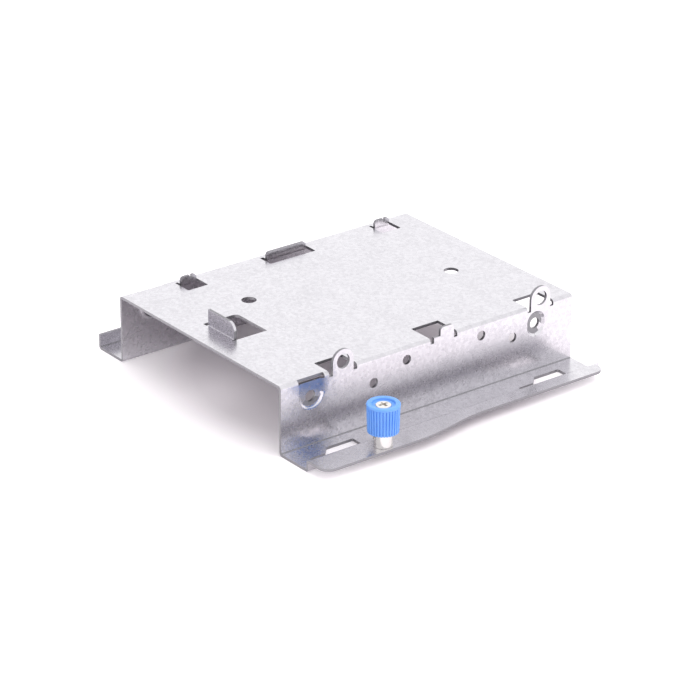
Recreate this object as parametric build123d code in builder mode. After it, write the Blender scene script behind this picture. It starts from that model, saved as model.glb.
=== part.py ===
from build123d import *
import os

# Drive caddy adapter: a folded sheet-steel bracket that holds one 2.5-inch drive under its top
# plate, and a captive thumbscrew on its side ear. All lengths are in millimetres.
#
# The origin is the centre of the footprint, in the plane that the flanges stand on.
# +X runs across the bay to the side with the thumbscrew, +Y runs along the bay away from the
# end with the lift tab, and +Z is up. Below, sizes across are counted from the bay's middle
# line, and sizes along from the near end.

os.makedirs("parts", exist_ok=True)

# Sheet
sheet = 0.8
bend_inner = 0.25
bend_outer = bend_inner + sheet

# Channel over the drive
bay_width = 71.2
pad_depth = 0.6
length = 99.5
height = 20.0
half_width = bay_width / 2 + pad_depth + sheet
wall_in = half_width - sheet
plate_under = height - sheet

# Flanges beside the channel, and the raised ear of the right one
left_flange = 11.1
left_lip_height = 4.5
right_flange = 11.7
ear_top = 3.5
ear_reach = 19.3
ear_waist_reach = 16.0
ear_wide_end = 31.0
ear_waist_start = 56.0
ear_corner = 3.0
ear_far_setback = 1.3
lip_face = half_width + right_flange
ear_edge = half_width + ear_reach
waist_edge = half_width + ear_waist_reach
ear_far = length - ear_far_setback

# Drive screw holes through both walls, in pads pressed into the bay. The insets from the two
# ends leave them 76.6 apart, as the screw holes of a 2.5-inch drive are.
drive_hole = 3.2
drive_hole_drop = 5.5
drive_hole_near_inset = 9.95
drive_hole_far_inset = 12.95
pad_wall = 0.2
near_pad_width = 8.5
near_pad_slope = 1.1
near_pad_round_rise = 0.45
near_pad_drop = 1.3
near_pad_notch = 1.0
far_pad_width = 6.2
far_pad_height = 7.5
far_pad_slope = 0.7

# Plain holes in the right wall, in two pairs about a point near the middle of its tabs
wall_hole = 2.8
wall_hole_shift = 0.15
outer_pair_offset = 23.9
outer_pair_drop = 7.4
inner_pair_offset = 12.8
inner_pair_drop = 3.75

# Plain holes in the plate, each by its place across and along
plate_hole = 4.2
plate_hole_places = [(-13.2, 26.4), (4.4, 83.2)]

# Tabs that carry the right wall upwards, each with a window behind it in the plate
near_tab_inset = 20.3
far_tab_inset = 11.4
relief_slit = 1.2
relief_depth = 1.6
window_corner = 0.4
ring_radius = 3.4
ring_hole = 4.2
ring_hole_rise = 1.8
ring_window_reach = 6.7
stop_tab_width = 6.8
stop_tab_step = 2.2
stop_tab_rise = 2.4
stop_tab_corner = 1.0
stop_window_reach = 8.4
stop_window_corner = 1.8

# Low tabs stood up from the plate beside the left wall
guide_tab_inset = 4.0
guide_tab_rise = 2.1
guide_tab_width = 5.1
guide_window_reach = 4.5
guide_notch_width = 0.7
guide_notch_depth = 0.9
guide_notch_offset = 0.65
middle_tab_width = 13.6
middle_tab_offset = -0.35
middle_window_reach = 3.2
guide_tab_corner = 1.0
guide_slit = 0.8
middle_slit = 1.1
guide_slit_back = 1.8

# Lift tab stood up from the plate near the middle of the near end
lift_tab_left = -6.2
lift_tab_width = 11.9
lift_tab_y = 7.8
lift_tab_rise = 4.6
lift_tab_corner = 2.6
lift_left_slit = 1.5
lift_right_slit = 0.4
lift_slit_back = 1.4
lift_window_corner = 1.5
lift_window_length = 9.7

# Keyhole slots in the right flange, their sides counted from the wall
slot_near_inset = 4.0
slot_far_inset = 7.8
slot_narrow_length = 5.4
slot_shoulder = 2.5
slot_length = 16.5
slot_wide_side = 3.8
slot_narrow_side = 6.5
slot_lip_side = 9.2
slot_corner = 0.5

# Captive thumbscrew on the ear
screw_reach = 16.1
screw_y = 21.0
screw_travel = 3.8
screw_thread = 3.0
screw_thread_length = 3.2
screw_neck = 2.2
screw_head = 4.4
screw_head_height = 2.1
screw_point = 0.4
cross_width = 0.8
cross_length = 2.8
cross_depth = 1.1
ferrule_diameter = 5.2
ferrule_shank = 4.4
ferrule_height = 5.6
ferrule_chamfer = 0.3
ferrule_thread_gap = 0.15
ferrule_web = 0.6
ferrule_neck_gap = 0.15
ferrule_wall = 0.5
press_grip = 0.02
knob_lower_diameter = 8.4
knob_upper_diameter = 9.0
knob_height = 8.1
knob_rise = 4.1
knob_rim = 0.8
knob_rim_step = 0.05
knob_edge = 0.3
knob_dish = 6.2
knob_dish_depth = 0.7
knob_bore_gap = 0.3
knob_stop_gap = 0.3
knob_ribs = 32
knob_rib_share = 0.4
knob_groove_share = 0.08
spring_wire = 0.35
spring_wire_sides = 4
spring_diameter = 3.3
spring_turns = 4.5
spring_gap = 0.03

# Heights that follow the plate, and places along the channel
drive_hole_z = height - drive_hole_drop
near_pad_top = height - near_pad_drop
outer_pair_z = height - outer_pair_drop
inner_pair_z = height - inner_pair_drop
ring_hole_z = height + ring_hole_rise
stop_tab_top = height + stop_tab_rise
guide_tab_top = height + guide_tab_rise
lift_tab_top = height + lift_tab_rise
near_hole_y = drive_hole_near_inset
far_hole_y = length - drive_hole_far_inset
near_tab_y = near_tab_inset
far_tab_y = length - far_tab_inset
middle_tab_y = (near_tab_y + far_tab_y) / 2
wall_holes_y = middle_tab_y + wall_hole_shift
wall_hole_places = [
    (wall_holes_y - outer_pair_offset, outer_pair_z),
    (wall_holes_y - inner_pair_offset, inner_pair_z),
    (wall_holes_y + inner_pair_offset, inner_pair_z),
    (wall_holes_y + outer_pair_offset, outer_pair_z),
]
slot_starts = [slot_near_inset, length - slot_far_inset - slot_length]

# Places in the part's own frame
screw_x = half_width + screw_reach
left_reach = half_width + left_flange
right_reach = max(ear_edge, screw_x + knob_upper_diameter / 2)
bay_x = (left_reach - right_reach) / 2
near_y = -length / 2


def across(y):
    """Plane square to the channel: local X runs across, local Y is height."""
    return Plane(origin=(bay_x, near_y + y, 0), x_dir=(1, 0, 0), z_dir=(0, -1, 0))


def along(x):
    """Plane parallel to the walls: local X runs along the channel, local Y is height."""
    return Plane(origin=(bay_x + x, near_y, 0), x_dir=(0, 1, 0), z_dir=(1, 0, 0))


def flat(z):
    """Plane parallel to the plate: local X runs across, local Y along the channel."""
    return Plane(origin=(bay_x, near_y, z))


def pad_plane(side, x, y):
    """Plane on a wall at a drive hole, its normal pointing into the bay."""
    origin = (bay_x + side * x, near_y + y, drive_hole_z)
    return Plane(origin=origin, x_dir=(0, -side, 0), z_dir=(-side, 0, 0))


def near_pad_outline(grow):
    """Pad with a round foot, which runs up to the notch under the plate's edge."""
    radius = near_pad_width / 2 + grow
    foot = near_pad_round_rise
    top = near_pad_top - drive_hole_z
    with BuildSketch(Plane.XY) as outline:
        with BuildLine():
            Polyline((-radius, foot), (-radius, top), (radius, top), (radius, foot))
            RadiusArc((radius, foot), (-radius, foot), radius)
        make_face()
    return outline.sketch


def far_pad_outline(grow):
    """Pad with two round ends."""
    with BuildSketch(Plane.XY) as outline:
        SlotOverall(far_pad_height + 2 * grow, far_pad_width + 2 * grow, rotation=90)
    return outline.sketch


pads = [
    (near_hole_y, near_pad_outline, near_pad_slope),
    (far_hole_y, far_pad_outline, far_pad_slope),
]

# The folded bracket is one piece of sheet
with BuildPart() as bracket:
    # The channel with its flanges, lips and ear is drawn along its upper and outer face
    with BuildSketch(across(0)):
        with BuildLine():
            FilletPolyline(
                (sheet - left_reach, left_lip_height),
                (sheet - left_reach, sheet),
                (-half_width, sheet),
                (-half_width, height),
                (half_width, height),
                (half_width, sheet),
                (lip_face - sheet, sheet),
                (lip_face - sheet, ear_top),
                (ear_edge, ear_top),
                radius=[bend_inner, bend_inner]
                + [bend_outer, bend_outer]
                + [bend_inner, bend_inner, bend_outer],
            )
            offset(amount=sheet, side=Side.RIGHT)
        make_face()
    extrude(amount=-length)

    # The ear is wide round the thumbscrew, narrows to a waist and has round corners
    with BuildSketch(flat(ear_top)):
        with Locations((lip_face, 0)):
            Rectangle(ear_reach, length, align=(Align.MIN, Align.MIN))
        with BuildLine():
            near_edge = Line((lip_face, 0), (ear_edge - ear_corner, 0))
            near_round = TangentArc(near_edge @ 1, (ear_edge, ear_corner), tangent=(1, 0))
            wide_edge = Line(near_round @ 1, (ear_edge, ear_wide_end))
            sweep_in = Spline(
                wide_edge @ 1, (waist_edge, ear_waist_start), tangents=[(0, 1), (0, 1)]
            )
            waist = Line(sweep_in @ 1, (waist_edge, ear_far - ear_corner))
            far_round = TangentArc(waist @ 1, (waist_edge - ear_corner, ear_far), tangent=(0, 1))
            Polyline(far_round @ 1, (lip_face, ear_far), (lip_face, 0))
        make_face(mode=Mode.SUBTRACT)
    extrude(amount=-ear_top, mode=Mode.SUBTRACT)

    # Notches in the plate's edges over the near pads
    for side in (-1, 1):
        with BuildSketch(flat(near_pad_top)):
            with Locations((side * half_width, near_hole_y)):
                Rectangle(2 * near_pad_notch, near_pad_width)
        extrude(amount=height - near_pad_top, mode=Mode.SUBTRACT)

    # Pads pressed into the bay, then their hollows on the outside
    for side in (-1, 1):
        for pad_y, pad_outline, pad_slope in pads:
            with BuildSketch(pad_plane(side, wall_in, pad_y)):
                add(pad_outline(pad_wall))
            with BuildSketch(pad_plane(side, wall_in - pad_depth, pad_y)):
                add(pad_outline(pad_wall - pad_slope))
            loft(ruled=True)
            with BuildSketch(pad_plane(side, half_width, pad_y)):
                add(pad_outline(0))
            with BuildSketch(pad_plane(side, half_width - pad_depth, pad_y)):
                add(pad_outline(-pad_slope))
            loft(ruled=True, mode=Mode.SUBTRACT)

    # Drive screw holes through both walls
    with BuildSketch(along(-half_width)):
        with Locations((near_hole_y, drive_hole_z), (far_hole_y, drive_hole_z)):
            Circle(drive_hole / 2)
    extrude(amount=2 * half_width, mode=Mode.SUBTRACT)

    # Plain holes of the right wall and the plate
    with BuildSketch(along(wall_in)):
        with Locations(*wall_hole_places):
            Circle(wall_hole / 2)
    extrude(amount=sheet, mode=Mode.SUBTRACT)
    with BuildSketch(flat(plate_under)):
        with Locations(*plate_hole_places):
            Circle(plate_hole / 2)
    extrude(amount=sheet, mode=Mode.SUBTRACT)

    # Windows at the right edge, open to the relief slits beside each tab
    for window_y, tab_width, reach, far_corner in [
        (near_tab_y, 2 * ring_radius, ring_window_reach, window_corner),
        (middle_tab_y, stop_tab_width, stop_window_reach, stop_window_corner),
        (far_tab_y, 2 * ring_radius, ring_window_reach, window_corner),
    ]:
        with BuildSketch(flat(height - relief_depth)) as window:
            with Locations((half_width, window_y)):
                Rectangle(reach, tab_width + 2 * relief_slit, align=(Align.MAX, Align.CENTER))
            inner_corners = window.vertices().group_by(Axis.X)[0].sort_by(Axis.Y)
            fillet(inner_corners[0], window_corner)
            fillet(inner_corners[1], far_corner)
        extrude(amount=relief_depth, mode=Mode.SUBTRACT)

    # Ring tabs in the plane of the right wall
    for tab_y in (near_tab_y, far_tab_y):
        with BuildSketch(along(wall_in)):
            with Locations((tab_y, height - relief_depth)):
                Rectangle(
                    2 * ring_radius,
                    ring_hole_z - height + relief_depth,
                    align=(Align.CENTER, Align.MIN),
                )
            with Locations((tab_y, ring_hole_z)):
                Circle(ring_radius)
                Circle(ring_hole / 2, mode=Mode.SUBTRACT)
        extrude(amount=sheet)

    # Stop tab between them, with a step at its near side
    stop_near = middle_tab_y - stop_tab_width / 2
    stop_far = middle_tab_y + stop_tab_width / 2
    with BuildSketch(along(wall_in)) as stop_tab:
        with BuildLine():
            Polyline(
                (stop_near, height - relief_depth),
                (stop_near, height),
                (stop_near + stop_tab_step, height),
                (stop_near + stop_tab_step, stop_tab_top),
                (stop_far, stop_tab_top),
                (stop_far, height - relief_depth),
                close=True,
            )
        make_face()
        fillet(stop_tab.vertices().group_by(Axis.Y)[-1], stop_tab_corner)
    extrude(amount=sheet)

    # Guide tabs beside the left wall, each bent up out of its own window
    guide_x = guide_tab_inset - half_width
    for tab_y, tab_width, slit, reach in [
        (near_tab_y, guide_tab_width, guide_slit, guide_window_reach),
        (middle_tab_y + middle_tab_offset, middle_tab_width, middle_slit, middle_window_reach),
        (far_tab_y, guide_tab_width, guide_slit, guide_window_reach),
    ]:
        window_width = tab_width + 2 * slit
        with BuildSketch(flat(plate_under)) as window:
            with Locations((guide_x + reach, tab_y)):
                Rectangle(reach + guide_slit_back, window_width, align=(Align.MAX, Align.CENTER))
            fillet(window.vertices().group_by(Axis.X)[-1], window_corner)
        extrude(amount=sheet, mode=Mode.SUBTRACT)
        with BuildSketch(across(tab_y - tab_width / 2)):
            with BuildLine():
                FilletPolyline(
                    (guide_x - guide_slit_back, height),
                    (guide_x - sheet, height),
                    (guide_x - sheet, guide_tab_top),
                    radius=bend_inner,
                )
                offset(amount=sheet, side=Side.RIGHT)
            make_face()
        extrude(amount=-tab_width)
    left_edges = bracket.edges().filter_by(Axis.X).filter_by_position(
        Axis.X, bay_x - half_width, bay_x
    )
    fillet(left_edges.group_by(Axis.Z)[-1], guide_tab_corner)
    notch_places = [(y + guide_notch_offset, guide_tab_top) for y in (near_tab_y, far_tab_y)]
    with BuildSketch(along(guide_x)):
        with Locations(*notch_places):
            SlotOverall(2 * guide_notch_depth, guide_notch_width, rotation=90)
    extrude(amount=-sheet, mode=Mode.SUBTRACT)

    # Lift tab at the near end, bent up out of the window behind it
    lift_window_width = lift_left_slit + lift_tab_width + lift_right_slit
    with BuildSketch(flat(plate_under)) as window:
        with Locations((lift_tab_left - lift_left_slit, lift_tab_y + sheet)):
            Rectangle(lift_window_width, lift_window_length, align=(Align.MIN, Align.MIN))
            Rectangle(lift_window_width, lift_slit_back, align=(Align.MIN, Align.MAX))
        far_corners = window.vertices().group_by(Axis.Y)[-1].sort_by(Axis.X)
        fillet(far_corners[0], lift_window_corner)
    extrude(amount=sheet, mode=Mode.SUBTRACT)
    with BuildSketch(along(lift_tab_left)):
        with BuildLine():
            FilletPolyline(
                (lift_tab_y + sheet - lift_slit_back, height),
                (lift_tab_y, height),
                (lift_tab_y, lift_tab_top),
                radius=bend_inner,
            )
            offset(amount=sheet, side=Side.RIGHT)
        make_face()
    extrude(amount=lift_tab_width)
    lift_corners = bracket.edges().filter_by(Axis.Y).group_by(Axis.Z)[-1]
    fillet(lift_corners.sort_by(Axis.X)[-1], lift_tab_corner)

    # Keyhole slots in the right flange
    for start_y in slot_starts:
        with BuildSketch(flat(0)) as slot:
            with BuildLine():
                Polyline(
                    (half_width + slot_lip_side, start_y),
                    (half_width + slot_narrow_side, start_y),
                    (half_width + slot_narrow_side, start_y + slot_narrow_length),
                    (half_width + slot_wide_side, start_y + slot_narrow_length + slot_shoulder),
                    (half_width + slot_wide_side, start_y + slot_length),
                    (half_width + slot_lip_side, start_y + slot_length),
                    close=True,
                )
            make_face()
            fillet(slot.vertices(), slot_corner)
        extrude(amount=sheet, mode=Mode.SUBTRACT)

    # Hole in the ear for the ferrule
    with BuildSketch(flat(ear_top)):
        with Locations((screw_x, screw_y)):
            Circle(ferrule_shank / 2 - press_grip)
    extrude(amount=-sheet, mode=Mode.SUBTRACT)
bracket.part.label = "bracket"
export_step(bracket.part, "parts/bracket.step")

# Heights of the thumbscrew's pieces, with the screw pulled up as at rest
ear_under = ear_top - sheet
screw_tip_z = ear_under
thread_top_z = screw_tip_z + screw_thread_length
web_z = thread_top_z
well_z = web_z + ferrule_web
ferrule_top_z = ear_top + ferrule_height
knob_foot_z = ear_top + knob_rise
knob_top_z = knob_foot_z + knob_height
dish_z = knob_top_z - knob_dish_depth
knob_web_z = ferrule_top_z + screw_travel + knob_stop_gap
head_top_z = knob_web_z + screw_head_height
ferrule_well = ferrule_diameter - 2 * ferrule_wall
knob_rim_z = knob_top_z - knob_rim


def upright(*points):
    """Closed outline to turn about the thumbscrew's axis, as radius and height."""
    return Polyline(*points, close=True)


def level(z):
    """Plane square to the thumbscrew's axis, at a height."""
    return Plane(origin=axis_plane.origin + Vector(0, 0, z))


def knurl_outline(radius):
    """Outline of flat-topped ribs in a ring, with a sharp groove after each."""
    pitch = 360 / knob_ribs
    rib_start = Vector(radius, 0).rotate(Axis.Z, -knob_rib_share * pitch / 2)
    rib_end = Vector(radius, 0).rotate(Axis.Z, knob_rib_share * pitch / 2)
    groove = Vector(radius * (1 - knob_groove_share), 0).rotate(Axis.Z, pitch / 2)
    with BuildSketch(Plane.XY) as outline:
        with BuildLine():
            Polyline(
                *[
                    point.rotate(Axis.Z, pitch * rib)
                    for rib in range(knob_ribs)
                    for point in (rib_start, rib_end, groove)
                ],
                close=True,
            )
        make_face()
    return outline.sketch


axis_plane = Plane(
    origin=(bay_x + screw_x, near_y + screw_y, 0), x_dir=(1, 0, 0), z_dir=(0, -1, 0)
)
screw_axis = Axis(axis_plane.origin, (0, 0, 1))

# The ferrule is pressed into the ear. Its web keeps the screw's thread from coming out upwards.
with BuildPart() as ferrule:
    with BuildSketch(axis_plane):
        with BuildLine():
            upright(
                (screw_thread / 2 + ferrule_thread_gap, ear_under),
                (ferrule_shank / 2, ear_under),
                (ferrule_shank / 2, ear_top),
                (ferrule_diameter / 2, ear_top),
                (ferrule_diameter / 2, ferrule_top_z - ferrule_chamfer),
                (ferrule_diameter / 2 - ferrule_chamfer, ferrule_top_z),
                (ferrule_well / 2, ferrule_top_z),
                (ferrule_well / 2, well_z),
                (screw_neck / 2 + ferrule_neck_gap, well_z),
                (screw_neck / 2 + ferrule_neck_gap, web_z),
                (screw_thread / 2 + ferrule_thread_gap, web_z),
            )
        make_face()
    revolve(axis=screw_axis)
ferrule.part.label = "ferrule"
export_step(ferrule.part, "parts/ferrule.step")

# The captive screw has a head with a cross recess, a thin neck and a short thread
with BuildPart() as captive_screw:
    with BuildSketch(axis_plane):
        with BuildLine():
            upright(
                (0, screw_tip_z),
                (screw_thread / 2 - screw_point, screw_tip_z),
                (screw_thread / 2, screw_tip_z + screw_point),
                (screw_thread / 2, thread_top_z),
                (screw_neck / 2, thread_top_z),
                (screw_neck / 2, knob_web_z),
                (screw_head / 2, knob_web_z),
                (screw_head / 2, head_top_z),
                (0, head_top_z),
            )
        make_face()
    revolve(axis=screw_axis)
    head_rim = captive_screw.edges().filter_by(GeomType.CIRCLE).group_by(Axis.Z)[-1]
    chamfer(head_rim, screw_point)
    with BuildSketch(level(head_top_z)):
        Rectangle(cross_length, cross_width)
        Rectangle(cross_width, cross_length)
    extrude(amount=-cross_depth, mode=Mode.SUBTRACT)
captive_screw.part.label = "captive_screw"
export_step(captive_screw.part, "parts/captive_screw.step")

# The thumb knob is a moulded cup pressed on the screw's head, which slides over the ferrule
with BuildPart() as thumb_knob:
    # Knurl of straight ribs up the flank, which stop below the smooth rim
    with BuildSketch(level(knob_foot_z)):
        add(knurl_outline(knob_lower_diameter / 2))
    with BuildSketch(level(knob_rim_z)):
        add(knurl_outline(knob_upper_diameter / 2 - knob_rim_step))
    loft(ruled=True)
    with BuildSketch(level(knob_rim_z)):
        Circle(knob_upper_diameter / 2)
    extrude(amount=knob_rim)
    # Bore for the ferrule below, seat of the screw's head in the middle and dish on top
    with BuildSketch(axis_plane):
        with BuildLine():
            upright(
                (0, knob_foot_z),
                (ferrule_diameter / 2 + knob_bore_gap, knob_foot_z),
                (ferrule_diameter / 2 + knob_bore_gap, knob_web_z),
                (screw_head / 2 - press_grip, knob_web_z),
                (screw_head / 2 - press_grip, dish_z),
                (knob_dish / 2, dish_z),
                (knob_dish / 2, knob_top_z),
                (0, knob_top_z),
            )
        make_face()
    revolve(axis=screw_axis, mode=Mode.SUBTRACT)
    chamfer(thumb_knob.edges().filter_by(GeomType.CIRCLE).group_by(Axis.Z)[-1], knob_edge)
thumb_knob.part.label = "thumb_knob"
export_step(thumb_knob.part, "parts/thumb_knob.step")

# The spring holds the screw up between the ferrule's web and the screw's head
spring_foot_z = well_z + spring_wire / 2 + spring_gap
spring_length = knob_web_z - well_z - spring_wire - 2 * spring_gap
with BuildPart() as lift_spring:
    with BuildLine(level(spring_foot_z)) as coil:
        Helix(
            pitch=spring_length / spring_turns, height=spring_length, radius=spring_diameter / 2
        )
    with BuildSketch(Plane(origin=coil.line @ 0, z_dir=coil.line % 0)):
        RegularPolygon(spring_wire / 2, spring_wire_sides)
    sweep(is_frenet=True)
lift_spring.part.label = "lift_spring"
export_step(lift_spring.part, "parts/lift_spring.step")
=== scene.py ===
# %% [markdown]
# # Drive caddy adapter
#
# The object is a folded bracket of zinc-coated sheet steel that holds one small disk drive,
# with a captive thumbscrew on the ear at its side. The CAD model brings every size and place.
# This lesson dresses it: the materials first, then the folded sheet, then the small turned and
# moulded pieces, and at the end the studio and the camera.

# %% The fixed frame
import math

import bmesh
import bpy
from mathutils import Matrix, Vector
from mathutils.bvhtree import BVHTree


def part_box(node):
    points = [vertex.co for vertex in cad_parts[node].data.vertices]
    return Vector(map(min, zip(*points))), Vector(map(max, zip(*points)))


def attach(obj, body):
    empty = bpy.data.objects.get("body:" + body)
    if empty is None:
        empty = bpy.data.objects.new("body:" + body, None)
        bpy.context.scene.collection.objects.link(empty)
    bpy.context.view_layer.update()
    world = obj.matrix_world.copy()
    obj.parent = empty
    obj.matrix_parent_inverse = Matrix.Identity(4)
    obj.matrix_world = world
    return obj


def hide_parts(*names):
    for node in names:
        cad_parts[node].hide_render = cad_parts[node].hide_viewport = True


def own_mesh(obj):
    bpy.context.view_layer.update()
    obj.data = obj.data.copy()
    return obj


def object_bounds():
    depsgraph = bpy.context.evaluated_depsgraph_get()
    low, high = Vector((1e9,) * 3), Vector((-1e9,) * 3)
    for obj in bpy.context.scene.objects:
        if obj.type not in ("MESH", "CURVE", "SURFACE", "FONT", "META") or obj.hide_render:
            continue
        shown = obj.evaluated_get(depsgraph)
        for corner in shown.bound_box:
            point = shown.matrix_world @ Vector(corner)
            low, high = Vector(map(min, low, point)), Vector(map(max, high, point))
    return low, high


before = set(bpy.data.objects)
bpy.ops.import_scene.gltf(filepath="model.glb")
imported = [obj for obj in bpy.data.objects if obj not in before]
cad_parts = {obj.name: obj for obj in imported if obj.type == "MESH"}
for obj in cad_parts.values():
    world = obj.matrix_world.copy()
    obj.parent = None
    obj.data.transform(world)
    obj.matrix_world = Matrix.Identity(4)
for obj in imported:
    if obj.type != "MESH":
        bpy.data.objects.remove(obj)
cad_low, cad_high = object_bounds()
MM = 0.001
print("CAD box in mm:", [round(v / MM, 2) for v in cad_high - cad_low])

# %% [markdown]
# ## Colours and nodes
#
# Colours are easiest to pick as the hex codes of a paint program, which are sRGB, but a shader
# wants linear light, so one function turns them over. One more function adds a node, sets its
# values and links its inputs, which keeps each node tree short enough to read from top to
# bottom.

# %% Colour and node helpers


def linear(hex_code):
    """Linear RGBA from an sRGB hex colour such as #C0C0C4."""
    steps = [int(hex_code[i:i + 2], 16) / 255 for i in (1, 3, 5)]
    return (*[s / 12.92 if s <= 0.04045 else ((s + 0.055) / 1.055) ** 2.4 for s in steps], 1)


def add_node(tree, kind, settings=None, inputs=None):
    """Adds a node. An input that is given as a socket is linked, any other value is set."""
    made = tree.nodes.new(kind)
    for name, value in (settings or {}).items():
        setattr(made, name, value)
    for key, value in (inputs or {}).items():
        if isinstance(value, bpy.types.NodeSocket):
            tree.links.new(value, made.inputs[key])
        else:
            made.inputs[key].default_value = value
    return made


def start_material(name):
    """A new material with an empty tree, as (material, tree)."""
    material = bpy.data.materials.new(name)
    material.use_nodes = True
    material.node_tree.nodes.clear()
    return material, material.node_tree


def finish_material(tree, shader):
    """Links a shader to the material's output."""
    add_node(tree, "ShaderNodeOutputMaterial", inputs={"Surface": shader.outputs[0]})


print("Middle grey in linear light:", round(linear("#808080")[0], 3))

# %% [markdown]
# ## Zinc-coated sheet
#
# The bracket is pressed from steel sheet that went through a bath of molten zinc. The coating
# froze into small flat crystals, called spangle. Each crystal lies at its own small angle, so
# under a soft lamp the sheet looks cloudy, with pale and grey flakes a millimetre or two wide.
# A picture of such a sheet could be wrapped round the part, but it would stretch at the folds.
# A Voronoi pattern in Object coordinates gives crystals of one real size on every face, and
# each crystal turns the surface normal a little, as the real one does. The roller of the mill
# leaves faint lines along the strip.
#
# The coating covers only the two broad faces of the sheet. Where the press tool cut it, at the
# ends, windows and slots, bare grey steel shows. Along the long folds the same grey is painted
# shade: in full on the inner side of a fold, where the corner's shade falls, and a little on the
# outer side, to dull the fold's highlight. An attribute on the mesh says how much of that grey is
# mixed in: it is stored in a later step and read here.

# %% Material of the folded sheet
SPANGLE = 0.8 * MM
RAGGED = 0.8 * SPANGLE
CLOUD = 9 * SPANGLE
FLAKE_GRAIN = 0.25 * MM
ROLL_LINE = 0.35 * MM
LINE_SQUEEZE = 0.02
GRAIN_SHARE = 0.5
CLOUD_SHARE = 0.9
DARK_FROM = 0.4
DARK_TO = 1.9
SMOOTHER = 0.05
ROUGHER = 0.07
CUT_ROUGHER = 0.25
LINE_HEIGHT = 0.02 * MM
LINE_STRENGTH = 0.10
GRAIN_HEIGHT = 0.01 * MM
GRAIN_STRENGTH = 0.12
CRYSTAL_TILT = 0.02


def zinc_sheet(name, colour, shade, bare_and_fold_shade_colour, base_roughness):
    """Hot-dip galvanised, temper-rolled steel: satin, pale small spangle, bare edges, painted
    fold shade.
    """
    material, tree = start_material(name)
    place = add_node(tree, "ShaderNodeTexCoord").outputs["Object"]
    # Crystals with ragged borders: the cell pattern is looked up at a place pushed by noise
    wander = add_node(tree, "ShaderNodeTexNoise", inputs={
        "Vector": place, "Scale": 1 / SPANGLE, "Detail": 2.0})
    push = add_node(tree, "ShaderNodeVectorMath", {"operation": "MULTIPLY_ADD"}, {
        0: wander.outputs["Color"], 1: (RAGGED,) * 3, 2: place})
    flakes = add_node(tree, "ShaderNodeTexVoronoi", inputs={
        "Vector": push.outputs[0], "Scale": 1 / SPANGLE})
    # Fine grain inside the crystals, and soft clouds that are wider than one crystal
    grain = add_node(tree, "ShaderNodeTexNoise", inputs={
        "Vector": place, "Scale": 1 / FLAKE_GRAIN, "Detail": 3.0})
    clouds = add_node(tree, "ShaderNodeTexNoise", inputs={
        "Vector": place, "Scale": 1 / CLOUD, "Detail": 3.0})
    # Rolling lines: noise that is squeezed across the strip and long along it
    strip = add_node(tree, "ShaderNodeMapping", inputs={
        "Vector": place, "Scale": (1 / ROLL_LINE, LINE_SQUEEZE / ROLL_LINE, 1 / ROLL_LINE)})
    lines = add_node(tree, "ShaderNodeTexNoise", inputs={
        "Vector": strip.outputs[0], "Scale": 1.0, "Detail": 2.0})
    # Each crystal's random tone, with the grain and the clouds added, picks pale or grey coat
    tone = add_node(tree, "ShaderNodeSeparateColor", inputs={0: flakes.outputs["Color"]})
    tone_grain = add_node(tree, "ShaderNodeMath", {"operation": "MULTIPLY_ADD"}, {
        0: grain.outputs["Fac"], 1: GRAIN_SHARE, 2: tone.outputs["Red"]})
    tone_sum = add_node(tree, "ShaderNodeMath", {"operation": "MULTIPLY_ADD"}, {
        0: clouds.outputs["Fac"], 1: CLOUD_SHARE, 2: tone_grain.outputs[0]})
    mix_amount = add_node(tree, "ShaderNodeMapRange", inputs={
        "Value": tone_sum.outputs[0], "From Min": DARK_FROM, "From Max": DARK_TO})
    coat = add_node(tree, "ShaderNodeMix", {"data_type": "RGBA"}, {
        0: mix_amount.outputs[0], 6: linear(colour), 7: linear(shade)})
    # The grey mixed in here is bare steel on cut edges and painted shade along the long folds
    bare = add_node(tree, "ShaderNodeAttribute", {"attribute_name": "bare_steel_and_fold_shade"})
    colour_mix = add_node(tree, "ShaderNodeMix", {"data_type": "RGBA"}, {
        0: bare.outputs["Fac"], 6: coat.outputs[2], 7: linear(bare_and_fold_shade_colour)})
    coat_roughness = add_node(tree, "ShaderNodeMapRange", inputs={
        "Value": tone_grain.outputs[0], "From Min": 0.0, "From Max": 1 + GRAIN_SHARE,
        "To Min": base_roughness - SMOOTHER, "To Max": base_roughness + ROUGHER})
    # A sheared edge is torn over much of its depth, so it is rougher than the coat
    roughness = add_node(tree, "ShaderNodeMath", {"operation": "MULTIPLY_ADD"}, {
        0: bare.outputs["Fac"], 1: CUT_ROUGHER, 2: coat_roughness.outputs[0]})
    # The surface leans three ways: rolling lines, grain, and each crystal's own small tilt
    bump_lines = add_node(tree, "ShaderNodeBump", inputs={
        "Height": lines.outputs["Fac"], "Strength": LINE_STRENGTH, "Distance": LINE_HEIGHT})
    bump = add_node(tree, "ShaderNodeBump", inputs={
        "Height": grain.outputs["Fac"], "Strength": GRAIN_STRENGTH, "Distance": GRAIN_HEIGHT,
        "Normal": bump_lines.outputs[0]})
    tilt = add_node(tree, "ShaderNodeVectorMath", {"operation": "SUBTRACT"}, {
        0: flakes.outputs["Color"], 1: (0.5, 0.5, 0.5)})
    tilted = add_node(tree, "ShaderNodeVectorMath", {"operation": "MULTIPLY_ADD"}, {
        0: tilt.outputs[0], 1: (CRYSTAL_TILT,) * 3, 2: bump.outputs[0]})
    normal = add_node(tree, "ShaderNodeVectorMath", {"operation": "NORMALIZE"}, {
        0: tilted.outputs[0]})
    shader = add_node(tree, "ShaderNodeBsdfPrincipled", inputs={
        "Base Color": colour_mix.outputs[2], "Metallic": 1.0,
        "Roughness": roughness.outputs[0], "Normal": normal.outputs[0]})
    finish_material(tree, shader)
    return material


# The third colour is bare steel on cut edges and painted shade along the long folds
zinc = zinc_sheet("hot_dip_galvanised_steel", "#D6D4D9", "#C4C2C7", "#929195", 0.24)
print("Spangle width in mm:", SPANGLE / MM)

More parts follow.
